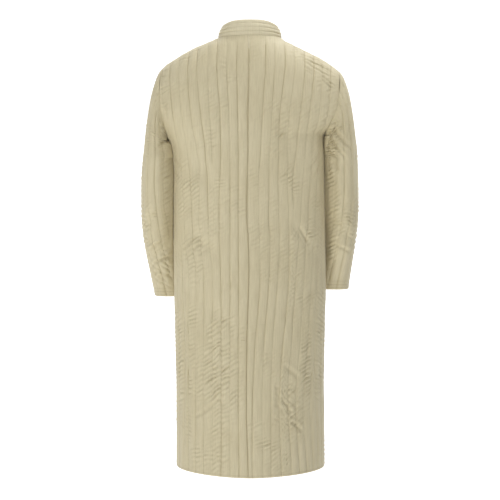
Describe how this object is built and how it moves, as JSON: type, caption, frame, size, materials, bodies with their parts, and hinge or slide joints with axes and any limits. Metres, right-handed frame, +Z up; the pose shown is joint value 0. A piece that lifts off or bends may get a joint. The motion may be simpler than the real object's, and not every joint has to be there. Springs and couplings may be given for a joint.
{
  "type": "gambeson",
  "caption": "Long quilted padded coat with a stand collar and set-in sleeves, hollow and filled out as worn, seamed down the back and buttoned in front",
  "frame": {"origin": "middle of the neck opening, at the height of the back neck seam, where the coat hangs from the wearer's shoulders", "axes": "+Z up along the coat, +Y out of its back, -Y out of its front, +X to the wearer's left"},
  "size_m": [0.6085, 0.3073, 1.2418],
  "materials": {
    "quilted_cloth": "softly lustrous cream cotton, quilted over padding",
    "covered_button": "cloth-covered, matte"
  },
  "bodies": {
    "root": {"back_left": "quilted_cloth", "back_right": "quilted_cloth", "front_left": "quilted_cloth", "front_right": "quilted_cloth", "sleeve_left": "quilted_cloth", "sleeve_right": "quilted_cloth", "collar": "quilted_cloth", "button_01": "covered_button", "button_02": "covered_button", "button_03": "covered_button", "button_04": "covered_button", "button_05": "covered_button", "button_06": "covered_button", "button_07": "covered_button", "button_08": "covered_button", "button_09": "covered_button", "button_10": "covered_button"}
  },
  "joints": []
}
